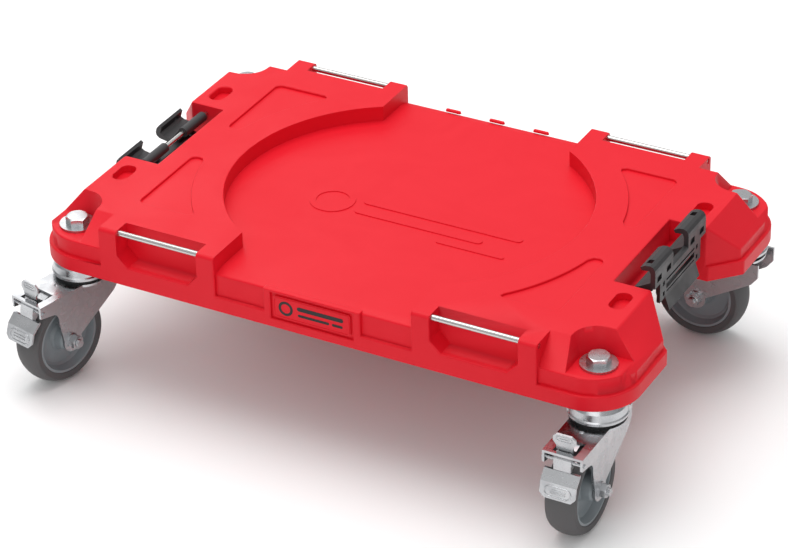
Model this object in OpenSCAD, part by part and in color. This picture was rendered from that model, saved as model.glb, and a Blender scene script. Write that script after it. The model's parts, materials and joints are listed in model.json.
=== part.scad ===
/* [Platform] */
// Length of the platform over its lip
platform_l = 657; // [600:1:700]
// Width of the platform over its lip
platform_w = 405; // [380:1:440]
// Height of the platform from the lip's lower edge to the deck
platform_h = 61; // [54:1:70]
// Corner radius of the lip, seen from above
lip_r = 50; // [40:1:60]
// Height of the lip
lip_h = 17; // [12:1:20]
// How far the lip stands out from the skirt above it
lip_out = 4; // [2:0.5:6]
// Wall thickness of the skirt and the ribs' outer walls
wall = 3.5; // [2.5:0.5:4.5]
// Thickness of the deck plate
deck_t = 4.5; // [4:0.5:6]
// Depth of the corner plateaus below the deck
corner_drop = 26.5; // [22:0.5:30]
// Length of the slope at each end, seen from above
end_slope = 30.5; // [22:0.5:40]

/* [Deck recesses] */
// Depth of the round centre recess
centre_drop = 17; // [10:1:20]
// Radius of the two arcs that end the centre recess
arc_r = 171.6; // [150:0.2:180]
// Distance from each end of the platform to the nearest point of its arc
arc_end = 138.2; // [125:0.1:150]
// Width of the sloping edge along the lower deck
edge_bevel = 13; // [6:1:16]
// Depth of the four three-cornered recesses
tri_drop = 2.5; // [1:0.5:3]
// Distance of their straight long side from the platform's end
tri_end = 93.5; // [88:0.5:100]
// Distance of their near tip from the middle line
tri_y0 = 34; // [20:1:50]
// Distance of their far side from the middle line
tri_y1 = 140; // [125:1:145]
// Width of the arc-shaped land between the centre recess and each of them
tri_land = 33; // [25:1:40]
// Width of the oval slots
slot_w = 17; // [12:1:20]
// Length of the oval slots
slot_l = 31; // [24:1:36]
// Depth of the oval slots
slot_d = 8; // [5:1:10]
// Slot centres: distance from the platform's end
slot_end = 48.5; // [44:0.5:54]
// Slot centres: distance from the middle, across the width
slot_y = 96; // [88:1:104]

/* [Tie rods] */
// Diameter of the steel rods
rod_d = 6; // [5:0.5:8]
// Distance from a rod to the platform's side
rod_side = 3.7; // [3:0.1:6]
// Distance from a rod to the deck's level
rod_cover = 1.4; // [1:0.1:3]
// Length of the finger gap
gap_l = 93.5; // [80:0.5:110]
// Distance from the platform's end to the finger gap
gap_end = 105.5; // [100:0.5:115]
// Thickness of the posts that hold a rod
post_t = 20; // [14:1:22]
// Distance from the platform's edge to the finger gap's back wall
gap_depth = 21; // [18:0.5:26]
// Depth of the finger gap below the deck
gap_drop = 39; // [30:1:41]
// Chamfer at the finger gap's lower corners
gap_chamfer = 12; // [6:1:16]
// Radial clearance of a rod in its posts
rod_fit = 0.05; // [0.02:0.01:0.1]

/* [End latches] */
// Gap between the latch and each side wall of its pocket
pocket_play = 5; // [3:0.5:8]
// Depth of the pocket, seen from above
pocket_l = 70; // [66:0.5:76]
// Depth of the pocket's ledge below the deck
ledge_drop = 23.5; // [21:0.5:26]
// Width of the ledge
ledge_w = 10.5; // [6:0.5:11]
// Distance of the pivot from the platform's end
pivot_end = 48; // [46:0.5:50]
// Depth of the pivot below the deck
pivot_drop = 10; // [8:0.5:12]
// Diameter of the pivot pin
pin_d = 5; // [4:0.5:6]
// How far the pin sits in each pocket wall
pin_seat = 8; // [5:0.5:10]
// Radial clearance of the latch on its pin
latch_fit = 0.06; // [0.02:0.01:0.1]
// Half width of the latch over its hooks
latch_w = 60; // [50:1:61]
// Half width of the gap between the two hooks
hook_gap = 18; // [12:1:24]
// Height of the hooks above the pivot
hook_h = 32.5; // [26:0.5:34]
// Reach of the pull tab below the pivot
tab_h = 28; // [20:0.5:28]
// Half width of the pull tab
tab_w = 33; // [24:1:40]
// Angle of the opened latch from the closed one
latch_open = 80; // [60:1:80]

/* [Castors] */
// How much higher the castor is than its wheel
castor_over = 28; // [28:1:36]
// Distance of the swivel axes from the platform's end
bolt_end = 37; // [35:0.5:42]
// Distance of the swivel axes from the platform's side
bolt_side = 34.4; // [32:0.1:42]
// Distance of the wheel's axle behind the swivel axis
trail = 38; // [34:1:42]
// Trail direction of the front left castor
turn_fl = 257; // [0:1:359]
// Trail direction of the front right castor
turn_fr = 270; // [0:1:359]
// Trail direction of the rear left castor
turn_rl = 90; // [0:1:359]
// Trail direction of the rear right castor
turn_rr = 179; // [0:1:359]
// Diameter of the castor's head over its rolled rim
head_d = 60; // [54:1:64]
// Diameter of the mounting bolt
bolt_d = 12; // [10:1:12]
// Diameter of the mounting bolt's washer
washer_d = 37; // [30:1:37]
// Thickness of that washer
washer_t = 2.5; // [2:0.5:3]
// Clearance of the bolt in its hole, on the diameter
bolt_play = 0.6; // [0.4:0.1:1]

/* [Wheels] */
// Diameter of the wheel
wheel_d = 100; // [90:1:102]
// Width of the tyre
wheel_w = 32; // [28:1:34]
// Thickness of the tyre
tyre_t = 12; // [10:1:14]
// Gap between the tyre and each leg of the fork
leg_play = 2.5; // [2:0.5:4]
// Thickness of the fork's sheet steel
fork_t = 2.5; // [2:0.5:3]
// Diameter of the axle bolt
axle_d = 8; // [8:1:10]
// Outer diameter of the spacer tube on the axle bolt
sleeve_d = 12; // [12:0.5:14]
// Radial clearance of the wheel on the spacer tube
wheel_fit = 0.06; // [0.02:0.01:0.1]

/* [Brakes] */
// Angle by which a pressed pedal turns
brake_throw = 6; // [3:1:6]
// Distance from the brake's pivot to the tyre
brake_play = 10.4; // [10.4:0.1:14]
// Half width of the pedal
pedal_w = 18.5; // [14:0.5:20]
// Diameter of the brake's pivot pin
brake_pin_d = 4; // [3:0.5:5]

/* [Hidden] */
$fn = 64;
eps = 0.01;
over = 1;
far = 1000;

// Heights, from the floor
castor_h = wheel_d + castor_over;
base_z = castor_h;
deck_z = base_z + platform_h;
corner_z = deck_z - corner_drop;
centre_z = deck_z - centre_drop;
lip_z = base_z + lip_h;
ledge_z = deck_z - ledge_drop;
ledge_t = 3;
gap_z = deck_z - gap_drop;
rod_z = deck_z - rod_cover - rod_d / 2;
pivot_z = deck_z - pivot_drop;

// Half sizes of the platform, seen from above
half_l = platform_l / 2;
half_w = platform_w / 2;
skirt_l = half_l - lip_out;
skirt_w = half_w - lip_out;
skirt_r = lip_r - lip_out;
top_x = half_l - end_slope;
arc_x = half_l - arc_end - arc_r;
tri_x = half_l - tri_end;
slot_x = half_l - slot_end;
bolt_x = half_l - bolt_end;
bolt_y = half_w - bolt_side;
rod_y = half_w - rod_side - rod_d / 2;
pocket_x = half_l - pocket_l;
pocket_y = latch_w + pocket_play;
pivot_x = half_l - pivot_end;
gap_back = half_w - gap_depth;
gap_x1 = half_l - gap_end;
gap_x0 = gap_x1 - gap_l;
post_x0 = gap_x0 - post_t;
post_x1 = gap_x1 + post_t;
arm_gap = post_x0;
label_z0 = base_z + 10;
label_z1 = centre_z - 4;
label_in = 3;
post_r = 4.4;

// The sloping ends: the slope's foot and the three-cornered facets by the pocket
slope_z = deck_z - 33;
facet_y = pocket_y + 37;
facet_foot = pocket_y + 44;
cheek_in = 2.5;
mouth_in = 26.5;
mouth_out = 29;

// Scoop around each mounting bolt
scoop_shift = 1;
scoop_r0 = washer_d / 2 + 2;
scoop_r1 = scoop_r0 + 5.5;
block_foot = 2;
block_head = 26;
boss_r = head_d / 2 - 2;

// Ribs under the deck
rib_t = 2.5;
rib_rise = 1;
rib_pitch = 60;
rib_cols = ceil(platform_l / rib_pitch);
rib_rows = ceil(platform_w / rib_pitch);

knuckle_r = pin_d / 2 + 3;

// Castor heights, from the floor down from the head
rim_z = castor_h - 16.5;
head_t = 3;
race_t = 3.7;
ball_d = 6;
ball_ring = 18;
ball_count = 14;
gap = 0.3;
cup_z = castor_h - head_t - race_t - ball_d - gap;
horn_z = castor_h - 21;
king_foot = horn_z - fork_t - 0.3;
king_t = 2.3;
nut_h = bolt_d - 5;
nut_af = bolt_d + 7;
head_af = bolt_d + 9;
bolt_head_h = 8;
bolt_r = bolt_d / 2;
bolt_hole_r = (bolt_d + bolt_play) / 2;
king_r = bolt_hole_r + 2.7;
king_flange_r = king_r + 5;
swivel_fit = 0.06;

// Fork and wheel
wheel_r = wheel_d / 2;
axle_r = axle_d / 2;
fork_gap = wheel_w + 2 * leg_play;
fork_half = fork_gap / 2 + fork_t;
leg_boss_r = 12;
brake_z = horn_z - 8.5;
brake_x = trail + sqrt(pow(wheel_r + brake_play, 2) - pow(brake_z - wheel_r, 2));
horn_l = brake_x + 4;
slot_x0 = 52;
slot_x1 = horn_l - 3.6;
slot_half = 10.5;
tab_play = 1.5;
axle_af = 13;
axle_head_h = 5.5;
axle_nut_h = 6.5;
axle_tail = 3;

CORNERS = ["fl", "fr", "rl", "rr"];
sign_x = [-1, 1, -1, 1];
sign_y = [-1, -1, 1, 1];
turns = [turn_fl, turn_fr, turn_rl, turn_rr];

red = "#e0343a";
zinc = "#c8c6c2";
black_plastic = "#35333a";
tyre_grey = "#4d4c4d";
hub_grey = "#6f7679";

function arc_points(r, a0, a1, n) = [for (i = [0 : n]) let (a = a0 + (a1 - a0) * i / n) [r * cos(a), r * sin(a)]];
function shift(points, dx, dy) = [for (p = points) [p[0] + dx, p[1] + dy]];

module slab(z0, z1) translate([0, 0, z0]) linear_extrude(z1 - z0) children();
module box(p, q) translate(p) cube(q - p);
// Upright outline in X and Z, drawn from y0 to y1
module xz_prism(y0, y1) translate([0, y1, 0]) rotate([90, 0, 0]) linear_extrude(y1 - y0) children();
// Upright outline in Y and Z, drawn from x0 to x1
module yz_prism(x0, x1) translate([x0, 0, 0]) rotate([90, 0, 90]) linear_extrude(x1 - x0) children();
module both_ends() { children(); mirror([1, 0, 0]) children(); }
module both_sides() { children(); mirror([0, 1, 0]) children(); }
module quarters() both_ends() both_sides() children();
module at_corner(i) translate([sign_x[i] * bolt_x, sign_y[i] * bolt_y, 0]) children();
module at_castor(i) at_corner(i) rotate([0, 0, turns[i]]) children();
module tube(r0, r1, z0, z1) slab(z0, z1) difference() { circle(r1); circle(r0); }
module rounded(l, w, r) {
    square([l - 2 * r, w], center = true);
    square([l, w - 2 * r], center = true);
    for (x = [-1, 1], y = [-1, 1]) translate([x * (l / 2 - r), y * (w / 2 - r)]) circle(r);
}
module hexagon(af) rotate(30) circle(d = af / cos(30), $fn = 6);
module hex_head(af, h, chamfer) intersection() {
    linear_extrude(h) hexagon(af);
    union() {
        cylinder(r = af, h = h - chamfer);
        translate([0, 0, h - chamfer]) cylinder(r1 = af / 2 + chamfer * 1.6, r2 = af / 2 - 0.4, h = chamfer);
    }
}

// Outline of the lip or the skirt, open at the end pockets
module plan(inset) difference() {
    rounded(platform_l - 2 * inset, platform_w - 2 * inset, lip_r - inset);
    both_ends() polygon([
        [pocket_x + ledge_w, -pocket_y], [half_l - mouth_in - inset, -pocket_y],
        [half_l + over - inset, -pocket_y - mouth_out], [half_l + over - inset, pocket_y + mouth_out],
        [half_l - mouth_in - inset, pocket_y], [pocket_x + ledge_w, pocket_y]]);
}
module centre_plan(grow) {
    square([2 * (arm_gap + grow), 2 * half_w + over], center = true);
    for (s = [-1, 1]) translate([s * arc_x, 0]) circle(arc_r + grow, $fn = 128);
}
// One level of the block between the platform's ends
module level(z, x_mouth, x_end, y_turn) slab(z - eps, z) polygon([
    for (q = [[1, 1], [-1, 1], [-1, -1], [1, -1]])
        for (p = q[0] * q[1] > 0 ? [[x_mouth, pocket_y], [x_end, y_turn], [x_end, skirt_w]]
                                 : [[x_end, skirt_w], [x_end, y_turn], [x_mouth, pocket_y]])
            [q[0] * p[0], q[1] * p[1]]]);
// The raised block with its sloping ends, before anything is cut away
module raised() intersection() {
    hull() {
        level(deck_z, top_x - cheek_in, top_x, facet_y);
        level(slope_z, half_l - mouth_in - lip_out / 2, skirt_l, facet_foot);
        level(base_z + eps, half_l - mouth_in - lip_out / 2, skirt_l, facet_foot);
    }
    slab(base_z, deck_z) plan(lip_out);
}
module scoop() translate([bolt_x - scoop_shift, bolt_y + scoop_shift, corner_z]) {
    h = corner_drop + over;
    top_r = scoop_r0 + (scoop_r1 - scoop_r0) * h / corner_drop;
    cylinder(r1 = scoop_r0, r2 = top_r, h = h);
    yz_prism(0, lip_r) polygon([[-scoop_r0, 0], [-top_r, h], [lip_r, h], [lip_r, 0]]);
    xz_prism(0, lip_r) polygon([[-scoop_r0, 0], [-top_r, h], [lip_r, h], [lip_r, 0]]);
}
// Sloping face of the block between the outer post and the scoop
module block_slope() yz_prism(post_x1, bolt_x) polygon([
    [skirt_w - block_foot, corner_z], [skirt_w - block_head, deck_z],
    [skirt_w - block_head, deck_z + over], [half_w + over, deck_z + over], [half_w + over, corner_z]]);
module finger_gap() xz_prism(gap_back, half_w + over) polygon([
    [gap_x0, deck_z + over], [gap_x0, gap_z + gap_chamfer], [gap_x0 + gap_chamfer, gap_z],
    [gap_x1 - gap_chamfer, gap_z], [gap_x1, gap_z + gap_chamfer], [gap_x1, deck_z + over]]);
module arm_front() yz_prism(post_x0, post_x1) polygon(concat(
    [[gap_back - wall, deck_z], [gap_back - wall, base_z], [half_w, base_z]],
    shift(arc_points(post_r, 0, 90, 6), half_w - post_r, deck_z - post_r)));
// Three-cornered recess with one arc-shaped side, seen from above
module triangle_plan() {
    r = arc_r + tri_land;
    fillet = 7;
    a0 = asin((tri_y0 + fillet) / r);
    a1 = asin((tri_y1 - fillet) / r);
    inner = shift(arc_points(r, a1, a0, 16), arc_x, 0);
    polygon(concat(
        [[inner[0][0] - 1, tri_y1 - 3], [inner[0][0] + 3, tri_y1]],
        shift(arc_points(fillet, 90, 0, 6), tri_x - fillet, tri_y1 - fillet),
        shift(arc_points(fillet, 0, -90, 6), tri_x - fillet, tri_y0 + fillet),
        [[inner[16][0] + 4, tri_y0 + 1]],
        [for (i = [16 : -1 : 0]) inner[i]]));
}
module pocket() {
    box([pocket_x, -pocket_y, ledge_z], [far, pocket_y, deck_z + over]);
    box([pocket_x + ledge_w, -pocket_y, base_z - over], [far, pocket_y, ledge_z + over]);
    box([pocket_x - 15, -pocket_y, base_z - over], [far, pocket_y, ledge_z - ledge_t]);
}
module label_block() box([-54, -half_w, base_z], [54, -skirt_w + wall, centre_z - 1]);

module deck_body() {
    difference() {
        union() {
            slab(base_z, lip_z) plan(0);
            raised();
            both_ends() both_sides() arm_front();
        }
        slab(centre_z, deck_z + over) centre_plan(0);
        both_sides() yz_prism(-arm_gap, arm_gap) polygon([
            [skirt_w - edge_bevel, centre_z], [skirt_w + over, centre_z - 3.5],
            [skirt_w + over, centre_z + over], [skirt_w - edge_bevel, centre_z + over]]);
        quarters() scoop();
        quarters() block_slope();
    }
    label_block();
}
// The hollow under the deck, in four steps
module hollow() {
    inset = lip_out + wall;
    slab(base_z - over, lip_z + 6) plan(inset);
    slab(lip_z, corner_z - wall) intersection() {
        plan(inset);
        square([2 * (top_x + 14), platform_w], center = true);
    }
    slab(base_z, centre_z - deck_t + 0.5) intersection() {
        centre_plan(-wall);
        square([platform_l, 2 * (skirt_w - wall - 4)], center = true);
    }
    slab(base_z, deck_z - deck_t) difference() {
        square([2 * (top_x - wall), 2 * gap_back - 2 * wall], center = true);
        centre_plan(wall);
        quarters() translate([bolt_x - scoop_r1 - wall - 2, bolt_y - scoop_r1 - wall - 2]) square(far);
        quarters() translate([post_x1 - wall, skirt_w - block_head - wall - deck_t]) square(far);
    }
}
module ribs() {
    pitch_x = 2 * (skirt_l - wall) / rib_cols;
    pitch_y = 2 * (skirt_w - wall) / rib_rows;
    for (i = [1 : rib_cols - 1])
        translate([(i - rib_cols / 2) * pitch_x - rib_t / 2, -skirt_w, base_z + rib_rise]) cube([rib_t, 2 * skirt_w, far]);
    for (i = [1 : rib_rows - 1])
        translate([-skirt_l, (i - rib_rows / 2) * pitch_y - rib_t / 2, base_z + rib_rise]) cube([2 * skirt_l, rib_t, far]);
}
// Walls that close the pockets, the finger gaps and the slots from below
module inner_walls() {
    both_ends() box([pocket_x - 15 - wall, -pocket_y - wall, base_z], [half_l, pocket_y + wall, deck_z]);
    quarters() box([pivot_x - 9, pocket_y, pivot_z - 9], [pivot_x + 9, pocket_y + pin_seat + 2, deck_z]);
    quarters() box([post_x0, gap_back - wall, gap_z - wall], [post_x1, half_w, deck_z]);
    quarters() slab(deck_z - slot_d - wall, deck_z) translate([slot_x, slot_y]) square([slot_w + 7, slot_l + 7], center = true);
    quarters() translate([bolt_x, bolt_y, base_z]) cylinder(r = boss_r, h = corner_drop + platform_h);
}
module deck() color(red) difference() {
    union() {
        difference() {
            deck_body();
            hollow();
        }
        intersection() {
            deck_body();
            union() {
                ribs();
                inner_walls();
            }
        }
    }
    both_ends() pocket();
    both_ends() xz_prism(-pocket_y - pin_seat, pocket_y + pin_seat) translate([pivot_x, pivot_z]) circle(d = pin_d);
    quarters() finger_gap();
    quarters() slab(deck_z - tri_drop, deck_z + over) triangle_plan();
    quarters() translate([slot_x, slot_y, 0]) slab(deck_z - slot_d, deck_z + over) rounded(slot_w, slot_l, slot_w / 2 - eps);
    quarters() translate([bolt_x, bolt_y, base_z - over]) cylinder(r = bolt_hole_r, h = platform_h);
    quarters() yz_prism(post_x0 + 6, post_x1 + over) translate([rod_y, rod_z]) circle(d = rod_d + 2 * rod_fit);
    box([-46, -half_w - over, label_z0], [46, -half_w + label_in, label_z1]);
}
module label_plate() color(red) translate([0, -half_w + label_in, (label_z0 + label_z1) / 2]) rotate([90, 0, 0])
    linear_extrude(2) rounded(86, label_z1 - label_z0 - 6, 3);

module rod(i) color(zinc) translate([0, sign_y[i] * rod_y, rod_z]) rotate([0, sign_x[i] * 90, 0])
    translate([0, 0, post_x0 + 6]) cylinder(d = rod_d, h = post_x1 - post_x0 - 7);

module latch_pin(s) color(zinc) translate([s * pivot_x, 0, pivot_z]) rotate([90, 0, 0])
    cylinder(d = pin_d, h = 2 * (pocket_y + pin_seat), center = true);

// Latch, closed, with its pivot at the origin: X points out of the platform's end
module latch_shape() difference() {
    union() {
        both_sides() xz_prism(hook_gap, latch_w) polygon([
            [14, 8], [14, hook_h - 9], [12.5, hook_h - 5.5], [4.5, hook_h - 6.5], [3, hook_h - 3.5],
            [8, hook_h - 0.6], [13, hook_h], [16.5, hook_h - 1.3], [18.6, hook_h - 4.5], [19, hook_h - 8], [19, 8]]);
        xz_prism(-latch_w + 2, latch_w - 2) polygon([[14, 8], [14, 14], [18, 14], [19, 12], [19, 8]]);
        xz_prism(-latch_w + 12, latch_w - 12) polygon([[14.5, 9], [19, 9], [19, -14], [15.5, -14], [15.5, -6], [14.5, -3]]);
        xz_prism(-tab_w - 3, tab_w + 3) polygon([
            [15.5, -11], [19, -11], [19.5, -13.5], [24, 1 - tab_h], [21.5, -tab_h - 0.5], [15.5, -20]]);
        both_sides() xz_prism(hook_gap, latch_w - 2) union() {
            circle(knuckle_r);
            polygon([[0, knuckle_r - 0.1], [5, 2], [15, 4], [15, 12], [12, 12]]);
        }
    }
    xz_prism(-latch_w - over, latch_w + over) circle(d = pin_d + 2 * latch_fit);
    box([10, -tab_w, -5.5], [30, tab_w, 0.5]);
    box([17.5, -tab_w, 3.5], [30, tab_w, 5.5]);
    box([17.5, -tab_w, -9.5], [30, tab_w, -8]);
    both_sides() {
        box([10, tab_w + 4, -10.5], [30, tab_w + 8, -5.5]);
        box([10, tab_w + 4, 1], [30, tab_w + 8, 6]);
        box([16.8, hook_gap + 5, hook_h - 20], [30, hook_gap + 15, hook_h - 13.5]);
        box([16.8, latch_w - 15, hook_h - 20], [30, latch_w - 5, hook_h - 13.5]);
        box([6.5, latch_w - 13, hook_h - 20], [12.5, latch_w - 6, hook_h + over]);
    }
}
module latch(s, angle) color(black_plastic) translate([s * pivot_x, 0, pivot_z])
    mirror([s < 0 ? 1 : 0, 0, 0]) rotate([0, angle, 0]) latch_shape();

// Castor head, one for each corner: a pressed cup with a rolled rim
module head(i) color(zinc) at_castor(i) rotate_extrude() polygon([
    [bolt_hole_r, castor_h], [head_d / 2 - 9, castor_h], [head_d / 2 - 4.5, castor_h - 1.8],
    [head_d / 2 - 2.2, castor_h - 6], [head_d / 2 - 1, castor_h - 12.5], [head_d / 2, castor_h - 14],
    [head_d / 2, rim_z], [head_d / 2 - 2.4, rim_z], [head_d / 2 - 3.4, castor_h - 12.5],
    [head_d / 2 - 4.6, castor_h - 6.5], [head_d / 2 - 6.2, castor_h - head_t], [bolt_hole_r, castor_h - head_t]]);
module king_sleeves() color(zinc) for (i = [0 : 3]) at_corner(i) {
    tube(bolt_hole_r, king_r, king_foot - eps, castor_h - head_t);
    tube(bolt_hole_r, king_flange_r, king_foot - king_t, king_foot);
}
module ball_races() color(zinc) for (i = [0 : 3]) at_corner(i)
    tube(king_r, head_d / 2 - 6.5, castor_h - head_t - race_t, castor_h - head_t);
module swivel_balls() color("silver") for (i = [0 : 3]) at_corner(i)
    for (k = [0 : ball_count - 1]) rotate([0, 0, k * 360 / ball_count])
        translate([ball_ring, 0, cup_z + gap + ball_d / 2]) sphere(d = ball_d, $fn = 24);
module mount_bolts() color(zinc) for (i = [0 : 3]) at_corner(i) {
    translate([0, 0, corner_z + washer_t]) hex_head(head_af, bolt_head_h, 1.2);
    translate([0, 0, king_foot - king_t - nut_h - 1]) cylinder(r = bolt_r, h = corner_z + washer_t - king_foot + king_t + nut_h + 1);
}
module mount_washers() color(zinc) for (i = [0 : 3]) at_corner(i)
    tube(bolt_r, washer_d / 2, corner_z, corner_z + washer_t);
module mount_nuts() color(zinc) for (i = [0 : 3]) at_corner(i)
    slab(king_foot - king_t - nut_h, king_foot - king_t) difference() {
        hexagon(nut_af);
        circle(bolt_r);
    }

// Side outline of a fork's leg: X is the distance behind the swivel axis, Y the height
module leg_outline() {
    translate([trail, wheel_r]) circle(leg_boss_r);
    polygon(concat(
        [[-31, horn_z], [-31, horn_z - 15], [-24, horn_z - 24], [-8, horn_z - 34], [trail - 11, wheel_r + 2]],
        [[trail + 11.5, wheel_r + 3], [trail + 16, horn_z - 31]],
        shift(arc_points(9, 180, 95, 5), trail + 25.5, horn_z - 24.5),
        [[horn_l, horn_z - 13], [horn_l, horn_z]]));
}
module fork(i, braked) color(zinc) at_castor(i) difference() {
    union() {
        for (s = [-1, 1]) xz_prism(s * (fork_half - fork_t / 2) - fork_t / 2, s * (fork_half - fork_t / 2) + fork_t / 2)
            leg_outline();
        slab(horn_z - fork_t, horn_z) {
            circle(head_d / 2 - 1.5);
            translate([-24, -fork_half]) square([horn_l + 24, 2 * fork_half]);
        }
        tube(king_r + 1, head_d / 2 - 7, horn_z - fork_t, cup_z);
        tube(head_d / 2 - 8, head_d / 2 - 5, horn_z - fork_t, rim_z - 1);
    }
    cylinder(r = king_r + swivel_fit, h = far);
    translate([trail, 0, wheel_r]) rotate([90, 0, 0]) cylinder(r = axle_r + 0.05, h = far, center = true);
    translate([36, 0, horn_z]) sphere(r = 2.5, $fn = 24);
    if (braked) {
        translate([brake_x, 0, brake_z]) rotate([90, 0, 0]) cylinder(d = brake_pin_d + 0.1, h = far, center = true);
        box([slot_x0, -slot_half - tab_play, horn_z - fork_t - over], [slot_x1, slot_half + tab_play, horn_z + over]);
    }
}
module dust_seal(i) color("#2a2a2c") at_castor(i) tube(head_d / 2 - 5, head_d / 2 - 3.6, horn_z, rim_z - 0.5);

module axle_bolt(i) color(zinc) at_castor(i) translate([trail, 0, wheel_r]) rotate([-90, 0, 0]) {
    translate([0, 0, -fork_half - axle_head_h]) cylinder(d = axle_af / cos(30), h = axle_head_h, $fn = 6);
    translate([0, 0, -fork_half - 0.5]) cylinder(r = axle_r, h = 2 * fork_half + 0.5 + axle_nut_h + axle_tail + 1.5);
    translate([0, 0, -fork_half - 1.5]) cylinder(r = 8, h = 1.5);
}
module axle_nut(i) color(zinc) at_castor(i) translate([trail, fork_half, wheel_r]) rotate([-90, 0, 0]) difference() {
    union() {
        cylinder(r = 8, h = 1.5);
        translate([0, 0, 1.5]) hex_head(axle_af, axle_nut_h, 0.8);
    }
    translate([0, 0, -over]) cylinder(r = axle_r, h = far);
}
module hub_sleeve(i) color(zinc) at_castor(i) translate([trail, 0, wheel_r]) rotate([90, 0, 0])
    tube(axle_r + 0.05, sleeve_d / 2, -fork_gap / 2, fork_gap / 2);

// Wheel centre: hub, dished web and rim, turned about the axle
module wheel_centre(i) color(hub_grey) at_castor(i) translate([trail, 0, wheel_r]) rotate([90, 0, 0]) {
    r0 = sleeve_d / 2 + wheel_fit;
    rim = wheel_r - tyre_t;
    half = wheel_w / 2;
    side = [[r0, half + 1.5], [r0 + 5, half + 1.5], [r0 + 6.5, half - 1], [r0 + 8, 7], [r0 + 10.5, 4],
            [rim - 8, 4], [rim - 5, 6], [rim - 3.2, half - 4], [rim - 2.5, half - 1.6], [rim, half - 1.6]];
    rotate_extrude($fn = 96) polygon(concat(side, [for (k = [len(side) - 1 : -1 : 0]) [side[k][0], -side[k][1]]]));
}
module tyre(i) color(tyre_grey) at_castor(i) translate([trail, 0, wheel_r]) rotate([90, 0, 0]) {
    half = wheel_w / 2;
    rim = wheel_r - tyre_t;
    crown = 3.2;
    crown_half = half - 3;
    crown_r = (crown_half * crown_half + crown * crown) / (2 * crown);
    a = asin(crown_half / crown_r);
    tread = shift(arc_points(crown_r, -a, a, 10), wheel_r - crown_r, 0);
    rotate_extrude($fn = 96) polygon(concat(
        [[rim, half - 1.6], [rim, -half + 1.6], [rim + 0.6, -half + 0.6], [rim + 4, -half + 0.3], [rim + 6, -half],
         [wheel_r - crown - 1.6, -half + 0.8]],
        tread,
        [[wheel_r - crown - 1.6, half - 0.8], [rim + 6, half], [rim + 4, half - 0.3], [rim + 0.6, half - 0.6]]));
}

// Brake rocker with its pivot at the origin: X points away from the swivel axis, Z up
module at_brake(i, angle) at_castor(i) translate([brake_x, 0, brake_z]) rotate([0, angle, 0]) children();
module brake_pedal(i, angle) color(zinc) at_brake(i, angle) difference() {
    union() {
        xz_prism(-9, 9) polygon([
            [-2.4, 4.6], [-4.4, 3.4], [-4.4, -3.4], [0, -4.2], [3.3, -11.2], [5.3, -10.7], [4.6, -3], [3.4, 3], [1, 4.6]]);
        xz_prism(-pedal_w, pedal_w) polygon([
            [3.4, -9.2], [5.6, -9.2], [14.2, -18.2], [19.2, -33.8], [17, -34.2], [12.4, -19.4], [3.4, -11.3]]);
    }
    xz_prism(-far, far) circle(d = brake_pin_d + 0.12);
    for (s = [-1, 1]) translate([0, s * pedal_w, -34.5]) rotate([0, 90, 0]) cylinder(r = 5, h = 40, center = true, $fn = 4);
}
module brake_release(i, angle) color(zinc) at_brake(i, angle) {
    xz_prism(-8.6, 8.6) polygon([[-4.4, 3.4], [-2.4, 4.6], [-2.4, 15], [-4.4, 15]]);
    yz_prism(-4.4, -2.4) polygon([
        [-8.6, 14.9], [-12, 19.6], [-11.6, 24.8], [-8, 28.2], [8, 28.2], [11.6, 24.8], [12, 19.6], [8.6, 14.9]]);
}
module brake_shoe(i, angle) color("#5b5b5d") at_brake(i, angle) xz_prism(-8, 8) polygon([
    [-4.4, -3.4], [0, -4.2], [3.3, -11.2], [3, -14.2], [1.7, -13.4], [-0.8, -10.8], [-3.5, -8.5], [-4.4, -7.8]]);
module brake_pin(i) color(zinc) at_castor(i) translate([brake_x, 0, brake_z]) rotate([90, 0, 0])
    cylinder(d = brake_pin_d, h = 2 * fork_half + 3, center = true);
module brake_spring(i) color(zinc) at_castor(i) xz_prism(-6, 6) polygon([
    [30, horn_z - fork_t], [50, horn_z - fork_t], [60, horn_z - 5], [60.4, horn_z - 5.8],
    [49.8, horn_z - fork_t - 0.9], [30, horn_z - fork_t - 0.9]]);

deck();
label_plate();
latch_pin(-1);  // latch_pin_left
latch_pin(1);  // latch_pin_right
latch(-1, latch_open);  // latch_left
latch(1, 0);  // latch_right
mount_bolts();
mount_washers();
mount_nuts();
king_sleeves();
ball_races();
swivel_balls();
for (i = [0 : 3]) {
    rod(i);
    head(i);
    fork(i, i < 2);
    dust_seal(i);
    axle_bolt(i);
    axle_nut(i);
    hub_sleeve(i);
    wheel_centre(i);
    tyre(i);
}
for (i = [0 : 1]) {
    pressed = i == 1 ? brake_throw : 0;
    brake_pedal(i, pressed);
    brake_release(i, pressed);
    brake_shoe(i, pressed);
    brake_pin(i);
    brake_spring(i);
}
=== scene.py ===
import bpy, bmesh, json, math, numpy
from mathutils import Matrix, Vector
from mathutils.bvhtree import BVHTree


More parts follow.
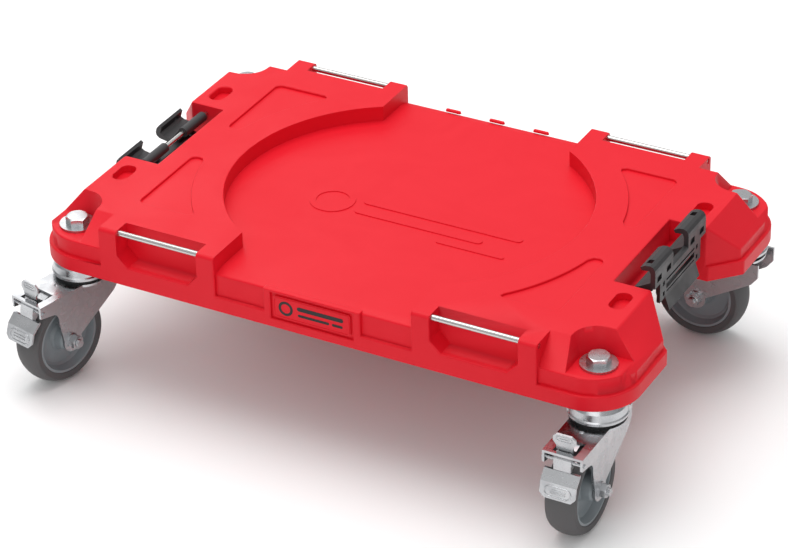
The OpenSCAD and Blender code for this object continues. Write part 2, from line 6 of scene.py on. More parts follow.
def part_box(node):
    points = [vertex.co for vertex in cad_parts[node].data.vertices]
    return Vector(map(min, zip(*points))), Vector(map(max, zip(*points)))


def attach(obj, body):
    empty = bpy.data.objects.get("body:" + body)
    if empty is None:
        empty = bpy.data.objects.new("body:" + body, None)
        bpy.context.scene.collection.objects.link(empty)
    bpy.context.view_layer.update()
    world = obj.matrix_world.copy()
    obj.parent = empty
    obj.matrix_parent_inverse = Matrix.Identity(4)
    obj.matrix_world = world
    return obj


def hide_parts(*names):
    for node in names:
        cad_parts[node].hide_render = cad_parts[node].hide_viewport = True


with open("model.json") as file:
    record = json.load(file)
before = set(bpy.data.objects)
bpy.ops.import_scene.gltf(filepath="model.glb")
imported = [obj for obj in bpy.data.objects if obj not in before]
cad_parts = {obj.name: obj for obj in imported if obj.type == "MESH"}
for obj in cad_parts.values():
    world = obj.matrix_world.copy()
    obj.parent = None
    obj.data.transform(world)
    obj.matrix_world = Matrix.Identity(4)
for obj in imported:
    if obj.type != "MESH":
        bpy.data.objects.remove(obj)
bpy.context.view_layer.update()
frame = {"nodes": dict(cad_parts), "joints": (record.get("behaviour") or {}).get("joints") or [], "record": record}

nodes = frame["nodes"]
joints = {joint["name"]: joint for joint in frame["joints"]}
mm = 0.001


def linearColour(hexText):
    levels = [int(hexText[i:i + 2], 16) / 255 for i in (1, 3, 5)]
    return tuple(v / 12.92 if v <= 0.04045 else ((v + 0.055) / 1.055) ** 2.4 for v in levels) + (1.0,)


def addNode(tree, kind, inputs=None, links=None, **settings):
    node = tree.nodes.new(kind)
    for name, value in settings.items():
        setattr(node, name, value)
    for name, value in (inputs or {}).items():
        node.inputs[name].default_value = value
    for name, source in (links or {}).items():
        tree.links.new(source, node.inputs[name])
    return node


def startMaterial(name, shader):
    # the object's own coordinates are metres, so a pattern's scale is 1000 / its size in mm
    material = bpy.data.materials.new(name)
    material.use_nodes = True
    tree = material.node_tree
    tree.nodes.clear()
    place = addNode(tree, "ShaderNodeTexCoord").outputs["Object"]
    principled = addNode(tree, "ShaderNodeBsdfPrincipled", shader)
    addNode(tree, "ShaderNodeOutputMaterial", links={"Surface": principled.outputs["BSDF"]})
    return material, tree, place, principled


noiseSpan = {"From Min": 0.3, "From Max": 0.7}  # nearly all of a noise pattern's values lie in here
mixFirst, mixSecond, mixResult = 6, 7, 2  # the Mix node's colour sockets


def blendTones(tree, principled, pattern, tones, roughness):
    # one pattern carries the second tone and the change of polish
    sockets = {mixFirst: linearColour(tones[0]), mixSecond: linearColour(tones[1])}
    colour = addNode(tree, "ShaderNodeMix", sockets, {"Factor": pattern}, data_type="RGBA")
    tree.links.new(colour.outputs[mixResult], principled.inputs["Base Color"])
    span = {**noiseSpan, "To Min": roughness[0], "To Max": roughness[1]}
    polish = addNode(tree, "ShaderNodeMapRange", span, {"Value": pattern})
    tree.links.new(polish.outputs["Result"], principled.inputs["Roughness"])


def raiseGrain(tree, principled, place, size, height, strength):
    noise = addNode(tree, "ShaderNodeTexNoise", {"Scale": 1000 / size, "Detail": 2.0}, {"Vector": place})
    bump = addNode(tree, "ShaderNodeBump", {"Strength": strength, "Distance": height * mm},
                   {"Height": noise.outputs["Fac"]})
    tree.links.new(bump.outputs["Normal"], principled.inputs["Normal"])


# Polypropylene, injection moulded in a spark-eroded tool: a waxy satin with a fine grain and faint flow marks
redPlastic = {"tones": ("#dc1627", "#d51223"), "roughness": (0.38, 0.50), "ior": 1.49, "specular": 0.2,
              "flow": 70, "distortion": 0.6, "grain": 0.9, "height": 0.035, "strength": 0.35}


def makeMouldedPolypropylene():
    look = redPlastic
    material, tree, place, principled = startMaterial("mouldedPolypropyleneRed", {
        "IOR": look["ior"], "Specular IOR Level": look["specular"], "Metallic": 0.0})
    flow = addNode(tree, "ShaderNodeTexNoise", {"Scale": 1000 / look["flow"], "Detail": 3.0,
                                                "Distortion": look["distortion"]}, {"Vector": place})
    blendTones(tree, principled, flow.outputs["Fac"], look["tones"], look["roughness"])
    raiseGrain(tree, principled, place, look["grain"], look["height"], look["strength"])
    return material


# Steel, pressed or turned, bright zinc plated: cool white with a cloudy, slightly uneven polish
zincPlate = {"tones": ("#cdced0", "#a9abae"), "roughness": (0.18, 0.36), "cloud": 14,
             "scratch": 1.4, "height": 0.02, "strength": 0.12}


def makeZincPlatedSteel(name, duller):
    look = zincPlate
    material, tree, place, principled = startMaterial(name, {"Metallic": 1.0})
    cloud = addNode(tree, "ShaderNodeTexNoise", {"Scale": 1000 / look["cloud"], "Detail": 4.0},
                    {"Vector": place})
    roughness = [level + duller for level in look["roughness"]]
    blendTones(tree, principled, cloud.outputs["Fac"], look["tones"], roughness)
    raiseGrain(tree, principled, place, look["scratch"], look["height"], look["strength"])
    return material


# Steel rod, cold drawn and plated: fine lines along its length
drawnRod = {"tones": ("#dcdad8", "#b4b2b0"), "roughness": (0.16, 0.30), "lineWidth": 0.5, "lineLength": 60}


def makeDrawnSteel():
    look = drawnRod
    material, tree, place, principled = startMaterial("drawnSteelRod", {"Metallic": 1.0})
    across = 1000 / look["lineWidth"]
    along = addNode(tree, "ShaderNodeMapping", {"Scale": (1000 / look["lineLength"], across, across)},
                    {"Vector": place})
    lines = addNode(tree, "ShaderNodeTexNoise", {"Scale": 1.0, "Detail": 2.0},
                    {"Vector": along.outputs["Vector"]})
    blendTones(tree, principled, lines.outputs["Fac"], look["tones"], look["roughness"])
    return material


# Plastics, rubbers and ink of one plain colour: a faint cloud of a second tone, and a grain
plainMoulding = {
    "thermoplasticRubberTread": {"tones": ("#4b4a4b", "#565455"), "cloud": 25, "roughness": (0.62, 0.78),
                                 "grain": 0.8, "height": 0.05, "ior": 1.5},
    "mouldedPolypropyleneGrey": {"tones": ("#888f93", "#7c8387"), "cloud": 30, "roughness": (0.42, 0.52),
                                 "grain": 0.7, "height": 0.02, "ior": 1.49},
    "glassFilledNylonBlack": {"tones": ("#2c2a2c", "#242224"), "cloud": 18, "roughness": (0.36, 0.52),
                              "grain": 0.6, "height": 0.03, "ior": 1.53},
    "rubberSealBlack": {"tones": ("#232324", "#1c1c1d"), "cloud": 10, "roughness": (0.6, 0.75),
                        "grain": 0.6, "height": 0.02, "ior": 1.52},
    "screenPrintInkBlack": {"tones": ("#0b0a0a", "#100e0f"), "cloud": 6, "roughness": (0.5, 0.6),
                            "grain": 0.4, "height": 0.005, "ior": 1.5},
}
mouldingGrainStrength = 0.4


def makePlainMoulding(name):
    look = plainMoulding[name]
    material, tree, place, principled = startMaterial(name, {"Metallic": 0.0, "IOR": look["ior"]})
    cloud = addNode(tree, "ShaderNodeTexNoise", {"Scale": 1000 / look["cloud"], "Detail": 3.0},
                    {"Vector": place})
    blendTones(tree, principled, cloud.outputs["Fac"], look["tones"], look["roughness"])
    raiseGrain(tree, principled, place, look["grain"], look["height"], mouldingGrainStrength)
    return material


finishes = {"platform_red": makeMouldedPolypropylene(),
            "zinc_steel": makeZincPlatedSteel("zincPlatedSteel", 0.0),
            "ball_steel": makeZincPlatedSteel("polishedBallSteel", -0.1),
            "shoe_grey": makeZincPlatedSteel("zincPlatedSteelShoe", 0.15),
            "rod_steel": makeDrawnSteel(),
            "tyre_grey": makePlainMoulding("thermoplasticRubberTread"),
            "wheel_grey": makePlainMoulding("mouldedPolypropyleneGrey"),
            "latch_black": makePlainMoulding("glassFilledNylonBlack"),
            "seal_black": makePlainMoulding("rubberSealBlack")}
finishes["label_black"] = finishes["platform_red"]  # the name plate is red; only its print is black
inkBlack = makePlainMoulding("screenPrintInkBlack")
print("stage: materials made,", len(finishes))

slotOf = {part["node"]: part["material_slot"] for part in frame["record"]["subparts"]}
for name, solid in nodes.items():
    if not solid.material_slots:
        solid.data.materials.append(None)
    for materialSlot in solid.material_slots:
        materialSlot.material = finishes[slotOf[name]]


def addPiece(name, mesh, body, slot, finish=None):
    piece = bpy.data.objects.new(name, mesh)
    bpy.context.scene.collection.objects.link(piece)
    mesh.materials.append(finish or finishes[slot])
    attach(piece, body)


# Deck shell: the moulding with its outer edges rounded as the tool leaves them; the ribs below stay crisp
deckEdges = {
    "radius": 1.8, "segments": 3,
    "weldWithin": 0.002, "flatWithin": 0.6,  # mm and degrees, for merging the facets first
    "sharperThan": 24, "smoothBelow": 38,  # degrees: what is rounded, and what is shaded smooth
    "standOff": 0.3, "lookFrom": 3, "facingDown": -0.3, "facingOut": 0.2,  # for telling what is in view
    "shortest": 0.3, "narrowest": 0.4,  # mm: shorter edges set no limit, narrower roundings are left sharp
    "smallestCurve": 3.6, "facetTurns": (0.02, 0.7), "widestTurn": 3.0,  # mm and radians, bores and corners
    "longEdge": 3, "leastReach": 0.001, "samples": 8,  # mm, and steps along a long edge
    "ofPlainEnd": 0.45, "ofLength": 0.85, "ofRoundedGap": 0.45, "ofPlainGap": 0.8,  # shares of the room
    "growth": 2.5, "growthPasses": 4,  # a rounding is at most this much wider than the next one
    "attempts": 12, "narrowBy": 0.6, "crossingReach": 2.2, "crossingSpread": 1.1}


def turnAt(loop):
    before, after = loop.vert.co - loop.link_loop_prev.vert.co, loop.link_loop_next.vert.co - loop.vert.co
    return before.angle(after, 0.0) * (1 if before.cross(after).dot(loop.face.normal) >= 0 else -1)


def isInView(edge, walls):
    # open to the sky, or to the side at a point just above the edge
    away = (edge.link_faces[0].normal + edge.link_faces[1].normal).normalized()
    start = (edge.verts[0].co + edge.verts[1].co) / 2 + away * deckEdges["standOff"] * mm
    if away.z > deckEdges["facingDown"] and walls.ray_cast(start, Vector((0, 0, 1)))[0] is None:
        return True
    level = Vector((away.x, away.y, 0))
    above = start + Vector((0, 0, deckEdges["lookFrom"] * mm))
    return level.length > deckEdges["facingOut"] and walls.ray_cast(above, level.normalized())[0] is None


def roomAtEnds(edge, loop, chosen):
    # a plain neighbour limits by its own length, rounded ones by the turns between them
    length, room, shrink = edge.calc_length(), math.inf, 0.0
    least, most = deckEdges["facetTurns"]
    following = loop.link_loop_next
    for corner, neighbour in ((loop, loop.link_loop_prev.edge), (following, following.edge)):
        turn = turnAt(corner)
        if neighbour not in chosen:
            room = min(room, deckEdges["ofPlainEnd"] * neighbour.calc_length())
            continue
        shrink += math.copysign(math.tan(min(abs(turn), deckEdges["widestTurn"]) / 2), turn)
        if least < -turn < most and length / -turn < deckEdges["smallestCurve"] * mm:
            room = 0.0  # the mouth of a small bore stays sharp
    return min(room, deckEdges["ofLength"] * length / shrink) if shrink > 0 else room


def roomAcross(edge, loop, chosen):
    # from points along the edge, straight across the face to its other edges
    room = math.inf
    start, end = loop.vert.co, loop.link_loop_next.vert.co
    along = (end - start).normalized()
    inward = loop.face.normal.cross(along)
    samples = deckEdges["samples"] if edge.calc_length() > deckEdges["longEdge"] * mm else 2
    for step in range(1, samples):
        spot = start.lerp(end, step / samples)
        for other in loop.face.edges:
            p, q = other.verts[0].co - spot, other.verts[1].co - spot
            if other is not edge and p.dot(along) * q.dot(along) < 0:
                reach = p.dot(inward) + (q - p).dot(inward) * p.dot(along) / (p - q).dot(along)
                if reach > deckEdges["leastReach"] * mm:
                    room = min(room, deckEdges["ofRoundedGap" if other in chosen else "ofPlainGap"] * reach)
    return room


def roomBeside(edge, chosen):
    # the widest rounding that keeps clear of the next edge on both faces
    room = deckEdges["radius"] * mm
    if edge.calc_length() > deckEdges["shortest"] * mm:
        for loop in edge.link_loops:
            room = min(room, roomAtEnds(edge, loop, chosen), roomAcross(edge, loop, chosen))
    return room


def mergedDeck():
    shell = bmesh.new()
    shell.from_mesh(nodes["deck"].data)
    bmesh.ops.remove_doubles(shell, verts=shell.verts, dist=deckEdges["weldWithin"] * mm)
    bmesh.ops.dissolve_limit(shell, angle_limit=math.radians(deckEdges["flatWithin"]),
                             verts=shell.verts, edges=shell.edges)
    shell.normal_update()
    return shell


def edgesInView(shell):
    walls = BVHTree.FromBMesh(shell)
    sharp = math.radians(deckEdges["sharperThan"])
    return [e for e in shell.edges
            if e.is_manifold and e.is_convex and e.calc_face_angle(0) > sharp and isInView(e, walls)]


def roomForRounding(edges):
    # each edge's own room, and then no rounding much wider than those it meets
    chosen = set(edges)
    room = {e: roomBeside(e, chosen) for e in edges}
    for growthPass in range(deckEdges["growthPasses"]):
        for edge in edges:
            beside = min(room[other] for v in edge.verts for other in v.link_edges if other in chosen)
            room[edge] = min(room[edge], deckEdges["growth"] * beside)
    return room


def bakeModifiers(piece):
    mesh = bpy.data.meshes.new_from_object(piece.evaluated_get(bpy.context.evaluated_depsgraph_get()))
    piece.modifiers.clear()
    piece.data = mesh


def bevelShell(piece, shell):
    piece.data = bpy.data.meshes.new("deckShell")
    shell.to_mesh(piece.data)
    rounding = piece.modifiers.new("roundedEdges", "BEVEL")
    rounding.limit_method, rounding.use_clamp_overlap = "WEIGHT", False
    rounding.width, rounding.segments = deckEdges["radius"] * mm, deckEdges["segments"]
    bakeModifiers(piece)


def findCrossings(mesh):
    # a point near each place where the surface passes through itself
    trial = bmesh.new()
    trial.from_mesh(mesh)
    bmesh.ops.triangulate(trial, faces=trial.faces)
    trial.faces.ensure_lookup_table()
    surface = BVHTree.FromBMesh(trial)
    corners = [{v.index for v in face.verts} for face in trial.faces]
    areas = [face.calc_area() for face in trial.faces]
    small = {a if areas[a] < areas[b] else b for a, b in surface.overlap(surface)
             if a < b and not corners[a] & corners[b]}
    spots = [numpy.array(trial.faces[index].calc_center_median()) for index in sorted(small)]
    trial.free()
    return spots


def edgesNear(crossings, starts, spans):
    near = set()
    for spot in crossings:
        along = numpy.clip(((spot - starts) * spans).sum(1) / (spans * spans).sum(1), 0, 1)
        gap = numpy.linalg.norm(starts + spans * along[:, None] - spot, axis=1)
        limit = max(deckEdges["crossingReach"] * mm, gap.min() * deckEdges["crossingSpread"])
        near |= set(numpy.nonzero(gap < limit)[0].tolist())
    return near


def roundDeckEdges():
    shell = mergedDeck()
    weight = shell.edges.layers.float.new("bevel_weight_edge")
    edges = edgesInView(shell)
    room = roomForRounding(edges)
    starts, ends = (numpy.array([tuple(e.verts[k].co) for e in edges]) for k in (0, 1))
    piece = bpy.data.objects.new("deckShell", bpy.data.meshes.new("deckShell"))
    bpy.context.scene.collection.objects.link(piece)
    for attempt in range(deckEdges["attempts"]):
        for edge in edges:
            isWide = room[edge] > deckEdges["narrowest"] * mm
            edge[weight] = room[edge] / (deckEdges["radius"] * mm) if isWide else 0.0
        bevelShell(piece, shell)
        crossings = findCrossings(piece.data)
        if not crossings:
            break
        # where the rounding runs into itself it is made narrower, and tried again
        for index in edgesNear(crossings, starts, ends - starts):
            room[edges[index]] *= deckEdges["narrowBy"]
    print("stage: deck edges rounded in", attempt + 1, "passes,", len(crossings), "crossings left")
    shell.free()
    piece.data.polygons.foreach_set("use_smooth", [True] * len(piece.data.polygons))
    piece.data.set_sharp_from_angle(angle=math.radians(deckEdges["smoothBelow"]))
    piece.modifiers.new("flatFaces", "WEIGHTED_NORMAL").keep_sharp = True
    bakeModifiers(piece)
    piece.data.materials.append(finishes["platform_red"])
    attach(piece, "platform")
    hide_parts("deck")


roundDeckEdges()
print("stage: deck shell rounded")


def onCircle(angle):
    return Vector((math.cos(angle), math.sin(angle)))


def capsule(a, b, half, steps=8):
    a, b = Vector(a), Vector(b)
    turn = math.atan2(*(b - a).normalized().yx)
    ends = [(b, turn - math.pi / 2), (a, turn + math.pi / 2)]
    return [end + half * onCircle(t + math.pi * i / steps) for end, t in ends for i in range(steps + 1)]


def roundedPlate(width, height, radius, steps=5):
    w, h = width / 2 - radius, height / 2 - radius
    corners = [(w, h, 0), (-w, h, 90), (-w, -h, 180), (w, -h, 270)]
    return [Vector((x, y)) + radius * onCircle(math.radians(t + 90 * i / steps))
            for x, y, t in corners for i in range(steps + 1)]


def circle(centre, radius, steps=48):
    return [Vector(centre) + radius * onCircle(2 * math.pi * i / steps) for i in range(steps)]


def raiseShape(target, outline, low, high, draft=0.0, hole=None):
    # outlines in mm; the top draws in by the draft, and a hole has as many points as its outline
    count = len(outline)

    def ring(points, level, inset):
        moved = []
        for i, point in enumerate(points):
            along = (points[(i + 1) % count] - points[i - 1]).normalized()
            moved.append(point + Vector((-along.y, along.x)) * inset)
        return [target.verts.new((p.x, p.y, level)) for p in moved]

    foot, top = ring(outline, low, 0), ring(outline, high, draft)
    if hole is None:
        target.faces.new(top)
        target.faces.new(foot[::-1])
    else:
        holeFoot, holeTop = ring(hole, low, 0), ring(hole, high, -draft)
    for i in range(count):
        j = (i + 1) % count
        target.faces.new((foot[i], foot[j], top[j], top[i]))
        if hole is not None:
            target.faces.new((holeFoot[j], holeFoot[i], holeTop[i], holeTop[j]))
            target.faces.new((top[i], top[j], holeTop[j], holeTop[i]))
            target.faces.new((foot[j], foot[i], holeFoot[i], holeFoot[j]))


def shapesToMesh(name, target, place):
    bmesh.ops.transform(target, matrix=place, verts=target.verts)
    bmesh.ops.recalc_face_normals(target, faces=target.faces)
    mesh = bpy.data.meshes.new(name)
    target.to_mesh(mesh)
    target.free()
    return mesh


# Floor relief: a plain ring and bars moulded a little proud of the lower deck, and nubs along its rear edge
floorRelief = {"level": 172.0, "sunk": 0.6, "height": 0.9, "draft": 0.35,
               "ringAt": (-75, -25), "ring": (24, 17),
               "bars": [((-40, -13), (130, -13), 5), ((-40, -33), (95, -33), 5), ((60, -51), (130, -51), 3)],
               "nubs": [-52, 0, 52], "nubAt": 196.5, "nubHalf": 2.2, "nubReach": 7, "nubHeight": 1.6,
               "nubDraft": 0.6}


def mouldFloorRelief():
    look = floorRelief
    relief = bmesh.new()
    low, high = look["level"] - look["sunk"], look["level"] + look["height"]
    outside, inside = (circle(look["ringAt"], radius) for radius in look["ring"])
    raiseShape(relief, outside, low, high, look["draft"], inside)
    for a, b, half in look["bars"]:
        raiseShape(relief, capsule(a, b, half), low, high, look["draft"])
    for x in look["nubs"]:
        a, b = (x - look["nubReach"], look["nubAt"]), (x + look["nubReach"], look["nubAt"])
        raiseShape(relief, capsule(a, b, look["nubHalf"]), low, look["level"] + look["nubHeight"],
                   look["nubDraft"])
    mesh = shapesToMesh("floorRelief", relief, Matrix.Scale(mm, 4))
    addPiece("floorRelief", mesh, "platform", "platform_red")


mouldFloorRelief()

# Name plate: left blank, with a raised rim, and a ring and bars printed on it in place of any wording
platePrint = {"rim": (84, 22, 2.6), "rimBand": 0.9, "rimSunk": 0.3, "rimHeight": 0.5, "rimDraft": 0.2,
              "inkSunk": 0.1, "inkHeight": 0.15, "ringAt": (-29, 0), "ring": (8.0, 5.2),
              "bars": [((-14, 3.4), (33, 3.4), 2.3), ((-14, -4.0), (18, -4.0), 1.5),
                       ((24, -4.0), (33, -4.0), 1.5)]}


def printNamePlate():
    look = platePrint
    low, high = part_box("label_plate")
    middle = Matrix.Translation(((low[0] + high[0]) / 2, low[1], (low[2] + high[2]) / 2))
    place = middle @ Matrix.Rotation(math.pi / 2, 4, "X") @ Matrix.Scale(mm, 4)
    width, height, radius = look["rim"]
    band = look["rimBand"]
    rim = bmesh.new()
    opening = roundedPlate(width - 2 * band, height - 2 * band, radius - band)
    raiseShape(rim, roundedPlate(width, height, radius), -look["rimSunk"], look["rimHeight"],
               look["rimDraft"], opening)
    addPiece("namePlateRim", shapesToMesh("namePlateRim", rim, place), "platform", "platform_red")
    ink = bmesh.new()
    outside, inside = (circle(look["ringAt"], radius) for radius in look["ring"])
    raiseShape(ink, outside, -look["inkSunk"], look["inkHeight"], 0, inside)
    for a, b, half in look["bars"]:
        raiseShape(ink, capsule(a, b, half), -look["inkSunk"], look["inkHeight"])
    mesh = shapesToMesh("namePlatePrint", ink, place)
    addPiece("namePlatePrint", mesh, "platform", "label_black", inkBlack)


printNamePlate()
print("stage: relief and name plate made")


def startTree(name, sizes):
    tree = bpy.data.node_groups.new(name, "GeometryNodeTree")
    for label, kind in sizes.items():
        tree.interface.new_socket(label, in_out="INPUT", socket_type="NodeSocket" + kind)
    tree.interface.new_socket("Geometry", in_out="OUTPUT", socket_type="NodeSocketGeometry")
    return tree, addNode(tree, "NodeGroupInput").outputs


def endTree(tree, geometry, sizes):
    whole = addNode(tree, "GeometryNodeRealizeInstances", links={"Geometry": geometry})
    coated = addNode(tree, "GeometryNodeSetMaterial", links={
        "Geometry": whole.outputs["Geometry"], "Material": sizes["Material"]})
    addNode(tree, "NodeGroupOutput", links={"Geometry": coated.outputs["Geometry"]})


def makeBeadTree():
    # a pressed oval bead with straight beads inside it
    tree, sizes = startTree("pressedBeads", {
        "Width": "Float", "Height": "Float", "Corner": "Float", "Bead": "Float", "Rows": "Int",
        "Pitch": "Vector", "First Row": "Vector", "Inner Start": "Vector", "Inner End": "Vector",
        "Material": "Material"})
    outline = addNode(tree, "GeometryNodeCurvePrimitiveQuadrilateral", links={
        "Width": sizes["Width"], "Height": sizes["Height"]})
    oval = addNode(tree, "GeometryNodeFilletCurve", {"Count": 8}, {
        "Curve": outline.outputs["Curve"], "Radius": sizes["Corner"]}, mode="POLY")
    profile = addNode(tree, "GeometryNodeCurvePrimitiveCircle", {"Resolution": 10}, {"Radius": sizes["Bead"]})
    outer = addNode(tree, "GeometryNodeCurveToMesh", links={
        "Curve": oval.outputs["Curve"], "Profile Curve": profile.outputs["Curve"]})
    line = addNode(tree, "GeometryNodeCurvePrimitiveLine", links={
        "Start": sizes["Inner Start"], "End": sizes["Inner End"]})
    bead = addNode(tree, "GeometryNodeCurveToMesh", {"Fill Caps": True}, {
        "Curve": line.outputs["Curve"], "Profile Curve": profile.outputs["Curve"]})
    rows = addNode(tree, "GeometryNodeMeshLine", links={
        "Count": sizes["Rows"], "Start Location": sizes["First Row"], "Offset": sizes["Pitch"]})
    inner = addNode(tree, "GeometryNodeInstanceOnPoints", links={
        "Points": rows.outputs["Mesh"], "Instance": bead.outputs["Mesh"]})
    both = addNode(tree, "GeometryNodeJoinGeometry")
    tree.links.new(outer.outputs["Mesh"], both.inputs["Geometry"])
    tree.links.new(inner.outputs["Instances"], both.inputs["Geometry"])
    endTree(tree, both.outputs["Geometry"], sizes)
    return tree


def makeThreadTree():
    # crests along a bolt's end, one ring for each turn
    tree, sizes = startTree("boltThread", {
        "Radius": "Float", "Crest": "Float", "Turns": "Int", "Pitch": "Vector", "Material": "Material"})
    ring = addNode(tree, "GeometryNodeCurvePrimitiveCircle", {"Resolution": 40}, {"Radius": sizes["Radius"]})
    profile = addNode(tree, "GeometryNodeCurvePrimitiveCircle", {"Resolution": 6}, {"Radius": sizes["Crest"]})
    crest = addNode(tree, "GeometryNodeCurveToMesh", links={
        "Curve": ring.outputs["Curve"], "Profile Curve": profile.outputs["Curve"]})
    steps = addNode(tree, "GeometryNodeMeshLine", links={"Count": sizes["Turns"], "Offset": sizes["Pitch"]})
    turns = addNode(tree, "GeometryNodeInstanceOnPoints", links={
        "Points": steps.outputs["Mesh"], "Instance": crest.outputs["Mesh"]})
    endTree(tree, turns.outputs["Instances"], sizes)
    return tree


grownWeld = 0.001  # mm


def growPiece(name, tree, sizes, place, body, slot):
    # the tree's result, sized in mm, as one plain mesh in its place
    holder = bpy.data.objects.new(name + "Grower", bpy.data.meshes.new(name + "Grower"))
    bpy.context.scene.collection.objects.link(holder)
    grower = holder.modifiers.new("grower", "NODES")
    grower.node_group = tree
    sockets = {item.name: item.identifier for item in tree.interface.items_tree if item.in_out == "INPUT"}
    for label, value in {**sizes, "Material": finishes[slot]}.items():
        grower[sockets[label]] = value
    single = bpy.data.meshes.new_from_object(holder.evaluated_get(bpy.context.evaluated_depsgraph_get()))
    bpy.data.objects.remove(holder)
    grown = bmesh.new()
    grown.from_mesh(single)
    bmesh.ops.transform(grown, matrix=place @ Matrix.Scale(mm, 4), verts=grown.verts)
    bmesh.ops.remove_doubles(grown, verts=grown.verts, dist=grownWeld * mm)
    bmesh.ops.recalc_face_normals(grown, faces=grown.faces)
    mesh = bpy.data.meshes.new(name)
    grown.to_mesh(mesh)
    grown.free()
    mesh.polygons.foreach_set("use_smooth", [True] * len(mesh.polygons))
    addPiece(name, mesh, body, slot)


def castorFrame(joint):
    # at the joint, with X forward, the joint's axis as Y, and Z up
    across, up = Vector(joint["axis"]).normalized(), Vector((0, 0, 1))
    return Matrix.Translation(joint["pos_m"]) @ Matrix((across.cross(up), across, up)).transposed().to_4x4()


# Brake grips: beads pressed into the pedal's foot and into the release tab
pedalGrip = {"at": (16.85, 0, -26.4), "tilt": -17.8, "width": 27.0, "height": 10.4, "bead": 0.85,
             "rows": 2, "pitch": 2.8, "inner": 8.0}
releaseGrip = {"at": (-2.45, 0, 23.2), "tilt": 0.0, "width": 16.4, "height": 5.4, "bead": 0.6,
               "rows": 1, "pitch": 1.0, "inner": 5.0}
ovalGap = 0.05  # mm left straight at the oval's ends, so that its fillets never meet


def gripSizes(grip):
    first = -(grip["rows"] - 1) / 2 * grip["pitch"]
    return {"Width": grip["width"], "Height": grip["height"], "Corner": grip["height"] / 2 - ovalGap,
            "Bead": grip["bead"], "Rows": grip["rows"], "Pitch": (0, grip["pitch"], 0),
            "First Row": (0, first, 0), "Inner Start": (-grip["inner"], 0, 0),
            "Inner End": (grip["inner"], 0, 0)}


def gripPlace(joint, grip):
    # the grip's width runs across the castor and its face looks forward; the joint's lower limit tells
    # how far a pedal that rests pressed is from open, and its grip is turned by as much
    face = Matrix(((0, 0, 1), (1, 0, 0), (0, 1, 0))).to_4x4()
    pressed = Matrix.Rotation(math.radians(-joint["range_deg"][0]), 4, "Y")
    tilted = Matrix.Translation(Vector(grip["at"]) * mm) @ Matrix.Rotation(math.radians(grip["tilt"]), 4, "Y")
    return castorFrame(joint) @ pressed @ tilted @ face


def pressBrakeGrips():
    beads = makeBeadTree()
    for corner in ("fl", "fr"):
        joint = joints["brake_rock_" + corner]
        for name, grip in (("pedalGrip_", pedalGrip), ("releaseGrip_", releaseGrip)):
            growPiece(name + corner, beads, gripSizes(grip), gripPlace(joint, grip),
                      "brake_" + corner, "zinc_steel")


# Axle thread: the crests that show past the nut, ending at the bolt's tip
axleThread = {"radius": 3.95, "crest": 0.3, "turns": 4, "pitch": 0.75, "tip": 32.2}


def cutThreads():
    look = axleThread
    threads = makeThreadTree()
    sizes = {"Radius": look["radius"], "Crest": look["crest"], "Turns": look["turns"],
             "Pitch": (0, 0, look["pitch"])}
    start = look["tip"] - look["turns"] * look["pitch"]
    for corner in ("fl", "fr", "rl", "rr"):
        axle = castorFrame(joints["wheel_spin_" + corner]) @ Matrix.Rotation(-math.pi / 2, 4, "X")
        growPiece("axleThread_" + corner, threads, sizes, axle @ Matrix.Translation((0, 0, start * mm)),
                  "swivel_" + corner, "zinc_steel")


pressBrakeGrips()
cutThreads()
print("stage: grips and threads made")

# Camera: the direction it looks from, the point it looks at and how far off it stands, in degrees and mm
camera = {"azimuth": 29.205, "elevation": 31.351, "roll": -1.444, "target": (44, -114.4, 165),
          "distance": 3113, "lens": 144.82, "sensor": 36, "clip": (0.1, 50)}


def placeCamera():
    turn, rise, roll = (math.radians(camera[k]) for k in ("azimuth", "elevation", "roll"))
    back = Vector((math.sin(turn) * math.cos(rise), -math.cos(turn) * math.cos(rise), math.sin(rise)))
    right = Vector((math.cos(turn), math.sin(turn), 0))
    up = back.cross(right)
    right, up = math.cos(roll) * right + math.sin(roll) * up, math.cos(roll) * up - math.sin(roll) * right
    lens = bpy.data.cameras.new("studioCamera")
    lens.lens, lens.sensor_width = camera["lens"], camera["sensor"]
    lens.clip_start, lens.clip_end = camera["clip"]
    holder = bpy.data.objects.new("studioCamera", lens)
    spot = Vector(camera["target"]) * mm + back * camera["distance"] * mm
    holder.matrix_world = Matrix.Translation(spot) @ Matrix((right, up, back)).transposed().to_4x4()
    bpy.context.scene.collection.objects.link(holder)
    bpy.context.scene.camera = holder


placeCamera()

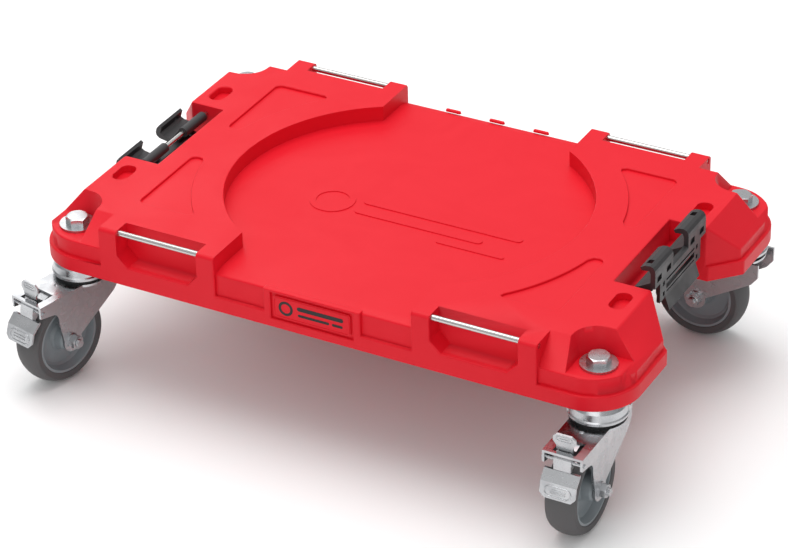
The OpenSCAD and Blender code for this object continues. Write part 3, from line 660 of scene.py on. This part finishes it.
# Studio, in metres: three soft boxes and an even surround over a pale floor
lamps = {"overhead": {"at": (-0.3, 0.3, 2.6), "size": 2.4, "watts": 49},
         "front": {"at": (0.6, -2.6, 1.2), "size": 2.0, "watts": 15},
         "rearLeft": {"at": (-2.2, 1.6, 1.6), "size": 1.6, "watts": 12}}
lampsAim = (0, 0, 0.1)
surround = {"above": "#ffffff", "side": "#94979c", "fade": (0.05, 0.45), "strength": 0.66}
paperSweep = {"reach": 6, "colour": "#fafafa", "roughness": 0.9}


def hangLamps():
    for name, lamp in lamps.items():
        light = bpy.data.lights.new(name, "AREA")
        light.shape, light.size, light.energy = "SQUARE", lamp["size"], lamp["watts"]
        holder = bpy.data.objects.new(name, light)
        at = Vector(lamp["at"])
        aim = (at - Vector(lampsAim)).to_track_quat("Z", "Y").to_matrix().to_4x4()
        holder.matrix_world = Matrix.Translation(at) @ aim
        bpy.context.scene.collection.objects.link(holder)


def wrapSurround():
    world = bpy.data.worlds.new("studioSurround")
    world.use_nodes = True
    sky, backdrop = world.node_tree, world.node_tree.nodes["Background"]
    direction = addNode(sky, "ShaderNodeTexCoord").outputs["Generated"]
    rise = addNode(sky, "ShaderNodeSeparateXYZ", links={"Vector": direction})
    low, high = surround["fade"]
    fade = addNode(sky, "ShaderNodeMapRange", {"From Min": low, "From Max": high},
                   {"Value": rise.outputs["Z"]})
    sockets = {mixFirst: linearColour(surround["side"]), mixSecond: linearColour(surround["above"])}
    tint = addNode(sky, "ShaderNodeMix", sockets, {"Factor": fade.outputs["Result"]}, data_type="RGBA")
    sky.links.new(tint.outputs[mixResult], backdrop.inputs["Color"])
    backdrop.inputs["Strength"].default_value = surround["strength"]
    bpy.context.scene.world = world


def layFloor():
    reach = paperSweep["reach"]
    mesh = bpy.data.meshes.new("studioFloor")
    mesh.from_pydata([(-reach, -reach, 0), (reach, -reach, 0), (reach, reach, 0), (-reach, reach, 0)], [],
                     [(0, 1, 2, 3)])
    mesh.materials.append(startMaterial("whitePaperSweep", {
        "Base Color": linearColour(paperSweep["colour"]), "Roughness": paperSweep["roughness"]})[0])
    floor = bpy.data.objects.new("studioFloor", mesh)
    bpy.context.scene.collection.objects.link(floor)


hangLamps()
wrapSurround()
layFloor()
bpy.context.scene.view_settings.view_transform = "Standard"
print("stage: camera and lights placed")
